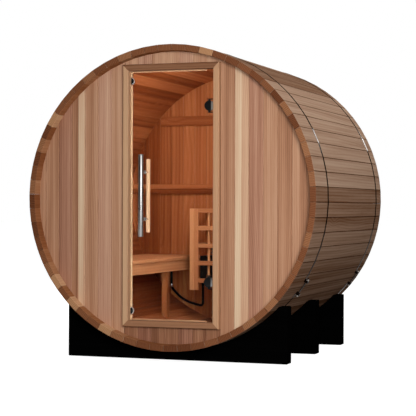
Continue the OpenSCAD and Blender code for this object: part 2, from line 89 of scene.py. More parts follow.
class Graph:
    """A new material and short calls to add and join its nodes."""

    def __init__(self, name):
        self.mat = bpy.data.materials.new(name)
        self.mat.use_nodes = True
        self.tree = self.mat.node_tree
        self.bsdf = self.tree.nodes["Principled BSDF"]

    def node(self, kind, inputs=None, **props):
        n = self.tree.nodes.new(kind)
        for k, v in props.items():
            setattr(n, k, v)
        for k, v in (inputs or {}).items():
            if hasattr(v, "is_output"):
                self.tree.links.new(v, n.inputs[k])
            else:
                n.inputs[k].default_value = v
        return n

    def math(self, op, a, b):
        return self.node("ShaderNodeMath", {0: a, 1: b}, operation=op).outputs[0]

    def noise(self, vec, scale, stretch, detail, rough=0.5):
        m = self.node("ShaderNodeMapping", {"Vector": vec, "Scale": stretch})
        n = self.node("ShaderNodeTexNoise", {
            "Vector": m.outputs[0], "Scale": scale, "Detail": detail, "Roughness": rough,
        })
        return n.outputs["Fac"]

    def ramp(self, fac, stops):
        n = self.node("ShaderNodeValToRGB", {"Fac": fac})
        el = n.color_ramp.elements
        while len(el) < len(stops):
            el.new(0.5)
        for e, (pos, col) in zip(el, stops):
            e.position = pos
            e.color = col
        return n.outputs["Color"]

    def remap(self, fac, lo, hi, a=0.0, b=1.0):
        ends = {"Value": fac, "From Min": a, "From Max": b, "To Min": lo, "To Max": hi}
        return self.node("ShaderNodeMapRange", ends).outputs[0]

    def set(self, **sockets):
        for k, v in sockets.items():
            s = self.bsdf.inputs[k.replace("_", " ")]
            if hasattr(v, "is_output"):
                self.tree.links.new(v, s)
            else:
                s.default_value = v

    def bump(self, height, strength, distance):
        n = self.node("ShaderNodeBump", {"Height": height, "Strength": strength, "Distance": distance})
        self.tree.links.new(n.outputs[0], self.bsdf.inputs["Normal"])


def wood(name, stops, rough=(0.45, 0.65), ring=0.09, streak=0.50, fibre=0.16, gloss=0.12,
         density=170.0, swirl=13.0, knot=0.30, toned="tone"):
    """Cedar whose grain runs along the first axis of the piece's own grain coordinates."""
    g = Graph(name)
    vec = g.node("ShaderNodeAttribute", attribute_name="grain").outputs["Vector"]
    tone = g.node("ShaderNodeAttribute", attribute_name=toned).outputs["Fac"]
    broad = g.noise(vec, 1.0, (0.5, 30, 30), 3.0, 0.55)
    wander = g.noise(vec, 1.0, (0.8, 5, 5), 1.0)
    sort = g.noise(vec, 1.0, (0.05, 0.35, 0.35), 0.0)
    fine = g.noise(vec, 1.0, (9, 520, 520), 2.0, 0.6)
    squeezed = g.node("ShaderNodeMapping", {"Vector": vec, "Scale": (0.55, 1, 1)}).outputs[0]
    away = g.node("ShaderNodeTexVoronoi", {"Vector": squeezed, "Scale": 3.4}).outputs["Distance"]
    spot = g.remap(away, 1.0, 0.0, 0.02, 0.055)
    round_knot = g.remap(away, 1.0, 0.0, 0.0, 0.26)
    across = g.node("ShaderNodeSeparateXYZ", {"Vector": vec})
    pith = g.math("ADD", across.outputs["Y"], g.math("MULTIPLY", across.outputs["Z"], 0.6))
    swing = g.math("MULTIPLY", wander, g.remap(sort, 1.0, swirl, 0.45, 0.75))
    swing = g.math("ADD", swing, g.math("MULTIPLY", g.math("POWER", round_knot, 2.0), 7.0))
    bend = g.math("ADD", g.math("MULTIPLY", pith, density), swing)
    rings = g.math("PINGPONG", bend, 1.0)
    rings = g.math("POWER", rings, 1.8)
    fac = g.math("ADD", tone, g.math("MULTIPLY", g.math("SUBTRACT", broad, 0.5), streak))
    fac = g.math("SUBTRACT", fac, g.math("MULTIPLY", g.math("SUBTRACT", rings, 0.35), ring))
    fac = g.math("ADD", fac, g.math("MULTIPLY", g.math("SUBTRACT", fine, 0.5), fibre))
    fac = g.math("SUBTRACT", fac, g.math("MULTIPLY", spot, knot))
    g.set(Base_Color=g.ramp(fac, stops), Roughness=g.remap(fine, rough[1], rough[0], 0.3, 0.7))
    g.set(Specular_IOR_Level=gloss)
    g.bump(g.math("ADD", fine, g.math("MULTIPLY", rings, 0.4)), 0.30, 0.0006)
    return g.mat


def end_grain(name, stops):
    """Saw-cut ends: growth rings in the cross-section and short dark pores."""
    g = Graph(name)
    vec = g.node("ShaderNodeAttribute", attribute_name="grain").outputs["Vector"]
    tone = g.node("ShaderNodeAttribute", attribute_name="end_tone").outputs["Fac"]
    part = g.node("ShaderNodeSeparateXYZ", {"Vector": vec})
    wander = g.noise(vec, 14.0, (0.2, 1, 1), 2.0)
    bend = g.math("ADD", g.math("MULTIPLY", part.outputs["Z"], 210.0), g.math("MULTIPLY", wander, 5.0))
    rings = g.math("PINGPONG", bend, 1.0)
    pores = g.noise(vec, 900.0, (0.2, 1, 1), 2.0)
    fac = g.math("ADD", tone, g.math("MULTIPLY", g.math("SUBTRACT", rings, 0.5), 0.30))
    fac = g.math("ADD", fac, g.math("MULTIPLY", g.math("SUBTRACT", pores, 0.5), 0.45))
    g.set(Base_Color=g.ramp(fac, stops), Roughness=g.remap(pores, 0.6, 0.8), Specular_IOR_Level=0.08)
    g.bump(pores, 0.4, 0.0008)
    return g.mat


def metal(name, colour, rough, grain=(1, 1, 1), metallic=1.0, relief=0.05, scale=220.0, gloss=0.5,
          rim=1.0):
    """Metal or coated metal with fine working marks along the axis that grain leaves low."""
    g = Graph(name)
    pos = g.node("ShaderNodeTexCoord").outputs["Object"]
    marks = g.noise(pos, scale, grain, 3.0, 0.6)
    cloud = g.noise(pos, 9.0, (1, 1, 1), 2.0)
    mix = g.math("ADD", g.math("MULTIPLY", marks, 0.6), g.math("MULTIPLY", cloud, 0.4))
    dark = tuple(c * 0.82 for c in colour[:3]) + (1,)
    light = tuple(min(1, c * 1.12) for c in colour[:3]) + (1,)
    g.set(
        Base_Color=g.ramp(mix, [(0.3, dark), (0.7, light)]),
        Roughness=g.remap(mix, rough[0], rough[1], 0.3, 0.7), Metallic=metallic,
        Specular_IOR_Level=gloss, Specular_Tint=(rim, rim, rim, 1),
    )
    g.bump(marks, relief, 0.0004)
    return g.mat


CEDAR_OUT = wood("cedar_front", [
    (0.0, lin(92, 52, 33)), (0.3, lin(140, 95, 69)), (0.5, lin(170, 123, 93)),
    (0.62, lin(184, 139, 109)), (0.8, lin(202, 161, 130)), (1.0, lin(216, 188, 156)),
], ring=0.12, streak=0.74, fibre=0.24)
CEDAR_ROSE = wood("cedar_front_rose", [
    (0.0, lin(92, 51, 35)), (0.3, lin(140, 94, 72)), (0.5, lin(171, 123, 98)),
    (0.62, lin(185, 140, 114)), (0.8, lin(202, 162, 134)), (1.0, lin(216, 188, 159)),
], ring=0.14, streak=0.70, fibre=0.24, swirl=20.0)
CEDAR_STAVE = wood("cedar_stave_outside", [
    (0.0, lin(68, 40, 24)), (0.3, lin(112, 77, 54)), (0.6, lin(160, 129, 107)), (1.0, lin(198, 172, 148)),
], rough=(0.55, 0.72), gloss=0.0)
# painted shade: the eased long edges of the staves are drawn in darker wood, for the shade in the joints
# between staves
CEDAR_JOINT_SHADE = wood("cedar_stave_arris_shade", [
    (0.0, lin(44, 26, 17)), (0.4, lin(80, 52, 36)), (0.7, lin(118, 86, 64)), (1.0, lin(160, 128, 104)),
], rough=(0.6, 0.75), gloss=0.0)
CEDAR_FRAME = wood("cedar_frame", [
    (0.0, lin(112, 72, 48)), (0.35, lin(160, 115, 84)),
    (0.65, lin(188, 145, 110)), (1.0, lin(214, 178, 140)),
], ring=0.08, streak=0.55, fibre=0.24)
CEDAR_IN = wood("cedar_inside", [
    (0.0, lin(62, 21, 6)), (0.35, lin(130, 63, 29)), (0.65, lin(182, 110, 66)), (1.0, lin(216, 154, 104)),
], ring=0.10, streak=0.38, density=70.0, swirl=16.0, knot=0.45)
CEDAR_SEAT = wood("cedar_bench", [
    (0.0, lin(120, 64, 34)), (0.35, lin(172, 106, 64)),
    (0.65, lin(206, 142, 96)), (1.0, lin(230, 176, 124)),
], ring=0.10, streak=0.5)
CEDAR_END = end_grain("cedar_end_grain", [
    (0.0, lin(66, 32, 15)), (0.4, lin(112, 65, 39)), (0.7, lin(140, 92, 61)), (1.0, lin(178, 132, 94)),
])
CEDAR_LIP = wood("cedar_rim_inside", [
    (0.0, lin(112, 62, 34)), (0.4, lin(144, 91, 57)), (0.7, lin(172, 122, 86)), (1.0, lin(204, 160, 122)),
], streak=0.35, gloss=0.0, toned="end_tone")
PALE_WOOD = wood("pale_handle_wood", [
    (0.0, lin(176, 126, 88)), (0.5, lin(208, 164, 126)), (1.0, lin(228, 192, 158)),
], ring=0.05, streak=0.25, fibre=0.1)
BLACK_WOOD = wood("black_stained_wood", [
    (0.0, lin(1, 1, 1)), (0.5, lin(3, 3, 3)), (1.0, lin(9, 8, 8)),
], rough=(0.62, 0.8), ring=0.1, streak=0.5, gloss=0.0)
STEEL = metal("brushed_steel", (0.24, 0.23, 0.22), (0.22, 0.36), (1, 1, 0.04))
BAND_STEEL = metal("band_steel", (0.045, 0.040, 0.036), (0.08, 0.13), (1, 8, 1), scale=60.0, rim=0.32)
CHROME = metal("polished_fitting", (0.74, 0.74, 0.75), (0.08, 0.16))
DARK_STEEL = metal("dark_bolt_steel", (0.26, 0.235, 0.21), (0.45, 0.6), rim=0.5)
BLACK = metal("satin_black_fitting", (0.006, 0.006, 0.006), (0.30, 0.45), metallic=0.0, gloss=0.12)
HEATER = metal("heater_black", (0.014, 0.012, 0.011), (0.45, 0.65), metallic=0.0, relief=0.12, gloss=0.2)
CONDUIT = metal("conduit_black", (0.008, 0.008, 0.009), (0.42, 0.55), metallic=0.0, gloss=0.2)


def make_stone():
    """Grey speckled stone."""
    g = Graph("heater_stone")
    pos = g.node("ShaderNodeTexCoord").outputs["Object"]
    speck = g.noise(pos, 260.0, (1, 1, 1), 4.0, 0.7)
    patch = g.noise(pos, 24.0, (1, 1, 1), 2.0)
    fac = g.math("ADD", g.math("MULTIPLY", speck, 0.6), g.math("MULTIPLY", patch, 0.4))
    greys = [(0.3, lin(48, 45, 43)), (0.55, lin(92, 86, 80)), (0.8, lin(140, 132, 122))]
    g.set(Base_Color=g.ramp(fac, greys), Roughness=g.remap(speck, 0.75, 0.95))
    g.bump(speck, 0.6, 0.002)
    return g.mat


STONE = make_stone()


def make_glass():
    """Clear glass with a faint waviness in its gloss."""
    g = Graph("clear_door_glass")
    pos = g.node("ShaderNodeTexCoord").outputs["Object"]
    wave = g.noise(pos, 2.2, (1, 1, 1), 1.0)
    g.set(Base_Color=(0.975, 0.985, 0.98, 1), Transmission_Weight=1.0, IOR=1.06,
          Roughness=g.remap(wave, 0.0, 0.012))
    return g.mat


GLASS = make_glass()


# mesh tools
class Piece:
    """Collects small solids into one mesh with their grain coordinates and tone."""

    def __init__(self, name):
        self.name = name
        self.verts, self.faces, self.mats = [], [], []
        self.tones, self.ends, self.grains = [], [], []

    def add(self, bm, tone=0.5, along="z", mat=0, place=None, ends=None):
        base = len(self.verts)
        off = Vector((rng.uniform(0, 60), rng.uniform(0, 60), rng.uniform(0, 60)))
        order = {"x": (0, 1, 2), "y": (1, 0, 2), "z": (2, 0, 1)}[along]
        bm.verts.index_update()
        bm.normal_update()
        for v in bm.verts:
            self.verts.append(place(v.co) if place else v.co.copy())
            self.grains.append(Vector((v.co[order[0]], v.co[order[1]], v.co[order[2]])) + off)
            self.tones.append(tone)
            self.ends.append(tone if ends is None else ends)
        for f in bm.faces:
            self.faces.append([base + v.index for v in f.verts])
            self.mats.append(mat(f) if callable(mat) else mat)
        bm.free()
        return self

    def done(self, mats, body, slot, replaces=(), smooth=None):
        me = bpy.data.meshes.new(self.name)
        me.from_pydata(self.verts, [], self.faces)
        for m in mats:
            me.materials.append(m)
        me.polygons.foreach_set("material_index", self.mats)
        tone = me.attributes.new("tone", "FLOAT", "POINT")
        tone.data.foreach_set("value", self.tones)
        ends = me.attributes.new("end_tone", "FLOAT", "POINT")
        ends.data.foreach_set("value", self.ends)
        grain = me.attributes.new("grain", "FLOAT_VECTOR", "POINT")
        grain.data.foreach_set("vector", [c for v in self.grains for c in v])
        me.update()
        if smooth is not None:
            me.shade_smooth()
            me.set_sharp_from_angle(angle=math.radians(smooth))
        o = bpy.data.objects.new(self.name, me)
        bpy.context.scene.collection.objects.link(o)
        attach(o, body)
        if replaces:
            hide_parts(*replaces)


def bevel(bm, edges, size, segments):
    bmesh.ops.bevel(bm, geom=list(edges), offset=size, offset_type="OFFSET", segments=segments,
                    profile=0.5, affect="EDGES", clamp_overlap=True)


def board(lo, hi, size, segments=2):
    """A box with eased edges."""
    bm = bmesh.new()
    mid = [(a + b) / 2 for a, b in zip(lo, hi)]
    span = [abs(b - a) for a, b in zip(lo, hi)]
    bmesh.ops.create_cube(bm, size=1.0, matrix=Matrix.Translation(mid) @ Matrix.Diagonal((*span, 1)))
    bevel(bm, bm.edges, min(size, min(span) * 0.3), segments)
    return bm


def skin(bm, a, b):
    """Closes two matching rows of vertices into a solid: a cap on each and faces between them."""
    n = len(a)
    bm.faces.new(a)
    bm.faces.new(list(reversed(b)))
    for i in range(n):
        bm.faces.new((a[i], b[i], b[(i + 1) % n], a[(i + 1) % n]))
    bmesh.ops.recalc_face_normals(bm, faces=bm.faces)


def prism(points, y0, y1):
    """An outline in the XZ plane pushed from y0 to y1."""
    bm = bmesh.new()
    a = [bm.verts.new((x, y0, z)) for x, z in points]
    b = [bm.verts.new((x, y1, z)) for x, z in points]
    skin(bm, a, b)
    return bm


def circle(bm, centre, side, other, r, segments):
    """Vertices round centre in the plane of two unit vectors."""
    turns = [2 * math.pi * k / segments for k in range(segments)]
    return [bm.verts.new(centre + (side * math.cos(t) + other * math.sin(t)) * r) for t in turns]


def lathe(profile, start, axis, segments):
    """A round solid: (radius, distance) pairs turned about a line from start along axis."""
    bm = bmesh.new()
    axis = Vector(axis).normalized()
    side = axis.orthogonal().normalized()
    other = axis.cross(side)
    start = Vector(start)
    rings = []
    for r, d in profile:
        if r < TINY:
            rings.append([bm.verts.new(start + axis * d)])
            continue
        rings.append(circle(bm, start + axis * d, side, other, r, segments))
    for a, b in zip(rings, rings[1:]):
        for k in range(segments):
            k2 = (k + 1) % segments
            if len(a) == 1 and len(b) > 1:
                bm.faces.new((a[0], b[k], b[k2]))
            elif len(b) == 1 and len(a) > 1:
                bm.faces.new((a[k], b[0], a[k2]))
            elif len(a) > 1:
                bm.faces.new((a[k], b[k], b[k2], a[k2]))
    bmesh.ops.recalc_face_normals(bm, faces=bm.faces)
    return bm


def rod(r, start, end, ease, segments):
    """A round bar with eased ends."""
    start, end = Vector(start), Vector(end)
    length = (end - start).length
    e = min(ease, r * 0.9, length * 0.45)
    turns = (0.0, math.pi / 6, math.pi / 3, math.pi / 2)
    c = [(r - e + e * math.sin(t), e - e * math.cos(t)) for t in turns]
    profile = [(0, 0)] + c + [(a, length - d) for a, d in reversed(c)] + [(0, length)]
    return lathe(profile, start, end - start, segments)


def tube(points, r, fillet, segments=14):
    """A bent round tube through corner points with rounded bends."""
    points = [Vector(p) for p in points]
    path = [points[0]]
    for a, p, b in zip(points, points[1:], points[2:]):
        d1, d2 = (a - p), (b - p)
        f = min(fillet, d1.length * 0.45, d2.length * 0.45)
        s, e = p + d1.normalized() * f, p + d2.normalized() * f
        for k in range(9):
            t = k / 8
            path.append(s * (1 - t) ** 2 + p * 2 * t * (1 - t) + e * t * t)
    path.append(points[-1])
    bm = bmesh.new()
    tangent = (path[1] - path[0]).normalized()
    side = tangent.orthogonal().normalized()
    rings = []
    for i, p in enumerate(path):
        nxt = (path[min(i + 1, len(path) - 1)] - path[max(i - 1, 0)]).normalized()
        side = tangent.rotation_difference(nxt) @ side
        tangent = nxt
        rings.append(circle(bm, p, side, tangent.cross(side), r, segments))
    for a, b in zip(rings, rings[1:]):
        for k in range(segments):
            bm.faces.new((a[k], a[(k + 1) % segments], b[(k + 1) % segments], b[k]))
    bm.faces.new(list(reversed(rings[0])))
    bm.faces.new(rings[-1])
    bmesh.ops.recalc_face_normals(bm, faces=bm.faces)
    return bm


# staves
def stave_solid():
    """One bevelled stave in its own frame: radial, along the barrel, tangential."""
    groove = INNER + CROZE
    profile = [
        (INNER, -HALF_LENGTH), (INNER, FRONT_FACE - PLAY),
        (groove, FRONT_FACE - PLAY), (groove, FRONT_IN + PLAY),
        (INNER, FRONT_IN + PLAY), (INNER, BACK_IN - PLAY),
        (groove, BACK_IN - PLAY), (groove, BACK_FACE + PLAY),
        (INNER, BACK_FACE + PLAY), (INNER, HALF_LENGTH),
        (OUTER, HALF_LENGTH), (OUTER, -HALF_LENGTH),
    ]
    bm = bmesh.new()
    sides = []
    for s in (-1, 1):
        sides.append([bm.verts.new((r, y, s * (r * math.tan(HALF) - PLAY))) for r, y in profile])
    skin(bm, *sides)
    ends = [e for e in bm.edges if all(abs(abs(v.co.y) - HALF_LENGTH) < TINY for v in e.verts)]
    outer = [e for e in bm.edges if all(abs(v.co.x - OUTER) < TINY for v in e.verts) and e not in ends]
    bevel(bm, ends + outer, STAVE_EASE, 2)
    return bm


STAVE_MATERIALS = [CEDAR_STAVE, CEDAR_IN, CEDAR_END, CEDAR_JOINT_SHADE, CEDAR_LIP]
OUTSIDE, INSIDE, END, ARRIS_SHADE, LIP = range(len(STAVE_MATERIALS))


def stave_face(f):
    """The place in STAVE_MATERIALS of the wood that a face of a stave shows."""
    c = f.calc_center_median()
    # the eased long edges take the darker wood that paints the shade in the joints
    if 0.2 < f.normal.x < 0.99 and abs(f.normal.y) < 0.2:
        return ARRIS_SHADE
    if abs(f.normal.y) > 0.7 and abs(c.y) > HALF_LENGTH - 0.004:
        return END
    if f.normal.x < -0.5:
        return INSIDE if FRONT_IN < c.y < BACK_IN else LIP
    return OUTSIDE


# runs of lighter and darker staves up the right side: first stave, last stave, tone
SIDE_RUNS = [(-8, -5, 0.43), (-4, -3, 0.52), (-2, 0, 0.42), (1, 8, 0.61), (9, 11, 0.41)]
# stave ends round the rim are mostly middle brown, with some dark, some light and a few pale ones
RIM_TONES = [0.26] * 2 + [0.41] * 4 + [0.51] * 3 + [0.68] * 2 + [0.98]
rim_rng = random.Random(3)


def stave_tone(i, plain):
    """The tone of the run that stave i lies in, or else its plain tone."""
    for first, last, tone in SIDE_RUNS:
        if first <= i <= last:
            return tone
    return plain


GROUPS = ["right", "upper_right", "top", "upper_left", "left", "lower_left", "bottom", "lower_right"]
PER_GROUP = STAVES // len(GROUPS)
# painted light: away from the right side, staves at the top and the bottom are drawn lighter than those at
# the left, to stand in for the light that falls on them
TOP_STAVES, BOTTOM_STAVES = range(12, 27), range(43, 54)
for eighth, group in enumerate(GROUPS):
    piece = Piece("stave_set_" + group)
    first = eighth * PER_GROUP - PER_GROUP // 2
    for i in range(first, first + PER_GROUP):
        ang = TURN + HALF + i * STEP
        cos_a, sin_a = math.cos(ang), math.sin(ang)

        def place(c, cos_a=cos_a, sin_a=sin_a):
            return Vector((c.x * cos_a - c.z * sin_a, c.y, AXIS_Z + c.x * sin_a + c.z * cos_a))

        # painted light: staves at the top and the bottom get a lighter tone
        pale = i in TOP_STAVES or i in BOTTOM_STAVES
        plain = rng.uniform(0.38, 0.66) if pale else rng.uniform(0.24, 0.46)
        tone = stave_tone((i + STAVES // 2) % STAVES - STAVES // 2, plain)
        ends = rim_rng.choice(RIM_TONES) + rng.uniform(-0.03, 0.03)
        piece.add(stave_solid(), tone=tone, ends=ends, along="y", mat=stave_face, place=place)
    piece.done(STAVE_MATERIALS, "sauna", "stave_cedar", ["staves_" + group])


# end walls
def arc_z(x):
    return math.sqrt(max(WALL_R * WALL_R - x * x, 0.0))


def wall_board(x0, x1, low, high, y0, y1, eased):
    """An upright board between two joints; low and high give its ends over x."""
    xs = [x0 + (x1 - x0) * k / 6 for k in range(7)]
    points = [(x, low(x)) for x in xs] + [(x, high(x)) for x in reversed(xs)]
    bm = prism(points, y0, y1)
    long_edges = [
        e for e in bm.edges
        if abs(e.verts[0].co.y - e.verts[1].co.y) < TINY and abs(e.verts[0].co.x - e.verts[1].co.x) < TINY
        and any(abs(e.verts[0].co.x - x) < TINY for x in eased)
    ]
    bevel(bm, long_edges, JOINT_EASE, 1)
    return bm


WALL_MATERIALS = [CEDAR_OUT, CEDAR_IN, CEDAR_ROSE]
PLAIN, ROOM_SIDE, ROSY = range(len(WALL_MATERIALS))
# boards of a rosier cedar, counted from the first joint
ROSE_BOARDS = {-12, -9, -6, -3, 2}


def wall(name, x_from, x_to, low, high, y0, y1, tones, inside_first, replaces):
    """Boards of one wall region on one series of joints; a board may carry a pale sapwood strip."""
    piece = Piece(name)
    k0 = math.floor((x_from - FIRST_JOINT) / BOARD)
    k1 = math.ceil((x_to - FIRST_JOINT) / BOARD)

    def side(f, k):
        inward = f.normal.y < -0.3 if inside_first else f.normal.y > 0.3
        return ROOM_SIDE if inward else ROSY if k in ROSE_BOARDS else PLAIN

    for k in range(k0, k1):
        x0 = max(FIRST_JOINT + k * BOARD, x_from) + PLAY
        x1 = min(FIRST_JOINT + (k + 1) * BOARD, x_to) - PLAY
        if x1 - x0 < SLIVER:
            continue
        strips = tones.get(k, [(1.0, rng.uniform(0.44, 0.60))])
        at = x0
        for share, tone in strips:
            end = x0 + (x1 - x0) * share
            strip = wall_board(at, end, low, high, y0, y1, (x0, x1))
            piece.add(strip, tone=tone, along="z", mat=lambda f, k=k: side(f, k))
            at = end
    piece.done(WALL_MATERIALS, "sauna", "wall_cedar", replaces)


def low_arc(x):
    return AXIS_Z - arc_z(x)


def high_arc(x):
    return AXIS_Z + arc_z(x)


# strips of each front board, counted from the first joint: the share of its width where one ends, its tone
FRONT_TONES = {
    -13: [(1.0, 0.54)], -12: [(1.0, 0.45)], -11: [(0.49, 0.44), (1.0, 0.86)], -10: [(1.0, 0.58)],
    -9: [(1.0, 0.62)], -8: [(1.0, 0.64)],
    0: [(1.0, 0.51)], 1: [(0.48, 0.96), (1.0, 0.74)], 2: [(1.0, 0.51)],
    # painted shade: boards 5 and 6, next to the right rim, are drawn darker for the rim's shadow on the
    # wall
    3: [(1.0, 0.55)], 4: [(1.0, 0.48)], 5: [(0.5, 0.56), (1.0, 0.46)], 6: [(1.0, 0.40)],
}
edge = WALL_R - 2 * PLAY
wall("front_boards_left", -edge, OPEN_L - FACE, low_arc, high_arc, FRONT_FACE, FRONT_IN,
     FRONT_TONES, False, ["front_wall_left"])
wall("front_boards_right", OPEN_R + FACE, edge, low_arc, high_arc, FRONT_FACE, FRONT_IN,
     FRONT_TONES, False, ["front_wall_right"])
HEAD_TONES = {k: [(1.0, 0.62 + 0.04 * (k % 3))] for k in range(-8, 1)}
wall("front_boards_over_door", OPEN_L - FACE, OPEN_R + FACE, lambda x: OPEN_T + FACE, high_arc,
     FRONT_FACE, FRONT_IN, HEAD_TONES, False, ["front_wall_over_door"])
# painted shade: the boards under the sill are drawn darker, for the shade low on the wall
SILL_SHADED_TONES = {k: [(1.0, 0.25 + 0.03 * (k % 3))] for k in range(-8, 1)}
wall("front_boards_under_sill", OPEN_L - FACE, OPEN_R + FACE, low_arc, lambda x: OPEN_B - FACE,
     FRONT_FACE, FRONT_IN, SILL_SHADED_TONES, False, ["front_wall_under_sill"])
BACK_TONES = {
    -13: [(1.0, 0.32)], -12: [(1.0, 0.34)], -11: [(1.0, 0.44)], -10: [(1.0, 0.58)], -9: [(1.0, 0.64)],
    -8: [(1.0, 0.60)], -7: [(1.0, 0.62)], -6: [(1.0, 0.54)],
}
wall("back_boards", -edge, edge, low_arc, high_arc, BACK_IN, BACK_FACE, BACK_TONES, True,
     ["back_wall_left", "back_wall_right"])


# door frame
def frame_profile():
    """Section of a frame member: distance from the opening, depth."""
    back, front, w = FRONT_IN, FRAME_FRONT, FACE
    ease, r = 0.004, 0.009
    points = [(0.0, back), (0.0, front + ease), (0.3 * ease, front + 0.3 * ease), (ease, front)]
    for k in range(6):
        t = math.pi / 2 * k / 5
        points.append((w - r + r * math.sin(t), front + r - r * math.cos(t)))
    points.append((w, back))
    return points


def frame_member(side):
    """A frame member on one side of the opening, mitred at both ends."""
    profile = frame_profile()
    bm = bmesh.new()
    ends = []
    for s in (0, 1):
        ring = []
        for a, y in profile:
            if side in ("left", "right"):
                x = OPEN_L - a if side == "left" else OPEN_R + a
                z = OPEN_B - a if s == 0 else OPEN_T + a
            else:
                x = OPEN_L - a if s == 0 else OPEN_R + a
                z = OPEN_T + a if side == "header" else OPEN_B - a
            ring.append(bm.verts.new((x, y, z)))
        ends.append(ring)
    skin(bm, *ends)
    return bm


for side, tone in (("left", 0.70), ("right", 0.57), ("header", 0.13), ("sill", 0.26)):
    piece = Piece("door_frame_" + side)
    piece.add(frame_member(side), tone=tone, along="z" if side in ("left", "right") else "x")
    piece.done([CEDAR_FRAME], "sauna", "frame_cedar", ["frame_" + side])

CATCH_Z = (OPEN_T - 0.060, OPEN_B + 0.056)
CATCH_R = 0.025
CATCH_CORE, CATCH_RING = CATCH_R - 0.0062, (CATCH_R - 0.0060, CATCH_R - 0.0025)
STOP = 0.009
stop = Piece("door_stop_beads")
lo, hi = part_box("door_stop")
gap = CATCH_R + PLAY
upper, lower = CATCH_Z
for z0, z1 in ((OPEN_B, lower - gap), (lower + gap, upper - gap), (upper + gap, OPEN_T)):
    stop.add(board((OPEN_L, lo[1], z0), (OPEN_L + STOP, hi[1], z1), 0.0015), tone=1.0)
for z0 in (OPEN_B, OPEN_T - STOP):
    bead = board((OPEN_L + STOP + PLAY, lo[1], z0), (hi[0], hi[1], z0 + STOP), 0.0015)
    stop.add(bead, tone=0.6, along="x")
stop.done([CEDAR_FRAME], "sauna", "frame_cedar", ["door_stop"])


def half_round(x, z, r0, r1, y0, y1, ease):
    """A half ring that stands on an upright line at x and bulges towards +X."""
    turn = [math.pi * (k / 20 - 0.5) for k in range(21)]
    points = [(x + r1 * math.cos(t), z + r1 * math.sin(t)) for t in turn]
    if r0:
        points += [(x + r0 * math.cos(t), z + r0 * math.sin(t)) for t in reversed(turn)]
    bm = prism(points, y0, y1)
    rim = [e for e in bm.edges if all(abs(v.co.y - y0) < TINY for v in e.verts)]
    bevel(bm, rim, ease, 2)
    return bm


catch = Piece("door_catch_bodies")
lo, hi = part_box("door_catches")
for z in CATCH_Z:
    catch.add(half_round(OPEN_L, z, 0.0, CATCH_CORE, lo[1] + 0.001, hi[1], 0.003), mat=0)
    catch.add(half_round(OPEN_L, z, *CATCH_RING, lo[1], hi[1], 0.001), mat=1)
catch.done([BLACK, CHROME], "sauna", "black_fitting", ["door_catches"], smooth=40)

# door leaf
leaf = nodes["door_glass"]
leaf.data.materials.clear()
leaf.data.materials.append(GLASS)

OUTER_STANDOFF, INNER_STANDOFF = 0.056, 0.060
POST_RISE, POST_R, POST_START, POST_REACH = 0.1415, 0.007, 0.0045, 0.010
FOOT_R, FOOT_NEAR, FOOT_FAR = 0.011, 0.0042, 0.0085


def grip_bar(piece, y, r, half, ease, segments, tone=0.5):
    """An upright bar at depth y, half long over and under the middle of the door."""
    piece.add(rod(r, (GRIP_X, y, GRIP_Z - half), (GRIP_X, y, GRIP_Z + half), ease, segments), tone=tone)


def grip_posts(piece, side, bar_y):
    """Two posts with round feet between the glass and a bar; side is -1 outside and 1 inside."""

    def stub(r, ya, yb, z, ease, segments):
        y0, y1 = sorted((ya, yb))
        piece.add(rod(r, (GRIP_X, y0, z), (GRIP_X, y1, z), ease, segments))

    for z in (GRIP_Z - POST_RISE, GRIP_Z + POST_RISE):
        stub(POST_R, GLASS_Y + side * POST_START, bar_y - side * POST_REACH, z, 0.0005, 20)
        stub(FOOT_R, GLASS_Y + side * FOOT_NEAR, GLASS_Y + side * FOOT_FAR, z, 0.001, 24)


outer_y = GLASS_Y - OUTER_STANDOFF
grip = Piece("steel_grip_bar")
grip_bar(grip, outer_y, r=0.016, half=0.2475, ease=0.003, segments=40)
grip_posts(grip, -1, outer_y)
grip.done([STEEL], "door", "steel", ["handle_outer"], smooth=40)

inner_y = GLASS_Y + INNER_STANDOFF
grip = Piece("wooden_grip_bar")
grip_bar(grip, inner_y, r=0.0125, half=0.2225, ease=0.004, segments=32, tone=0.56)
grip.done([PALE_WOOD], "door", "pale_wood", ["handle_inner"], smooth=40)
posts = Piece("wooden_grip_posts")
grip_posts(posts, 1, inner_y)
posts.done([CHROME], "door", "steel", smooth=40)

# hinges: the disc that clamps the glass, the knuckle on the pin, and the lugs of the jamb bracket
DISC_R, DISC_SHIFT, DISC_SIDE, BAR_SIDE = 0.030, 0.002, 0.026, 0.015
DISC_NEAR, DISC_FAR, DISC_EASE, BAR_GAP = 0.0042, 0.012, 0.0022, 0.0004
KNUCKLE_R, KNUCKLE_HALF = 0.0075, 0.0354
LUG_R, LUG_OFF, LUG_HALF, LUG_DEPTH, LUG_EASE = 0.007, 0.039, 0.003, 0.0065, 0.0008


def clamp_disc(z, y0, y1, side0, side1):
    """The slice of a round hinge disc between two upright lines, with an eased outer edge at y1."""
    cx = HINGE_X + DISC_SHIFT
    lo = max(side0 - DISC_SHIFT, -DISC_R)
    hi = side1 - DISC_SHIFT
    t0, t1 = math.acos(hi / DISC_R), math.acos(lo / DISC_R)
    arc = [t0 + (t1 - t0) * k / 36 for k in range(37)]
    points = [(cx + DISC_R * math.cos(t), z + DISC_R * math.sin(t)) for t in arc]
    low = [(cx + DISC_R * math.cos(t), z - DISC_R * math.sin(t)) for t in reversed(arc)]
    points += low[1:] if lo <= -DISC_R else low
    bm = prism(points, min(y0, y1), max(y0, y1))
    rim = [e for e in bm.edges if all(abs(v.co.y - y1) < TINY for v in e.verts)]
    bevel(bm, rim, DISC_EASE, 3)
    return bm


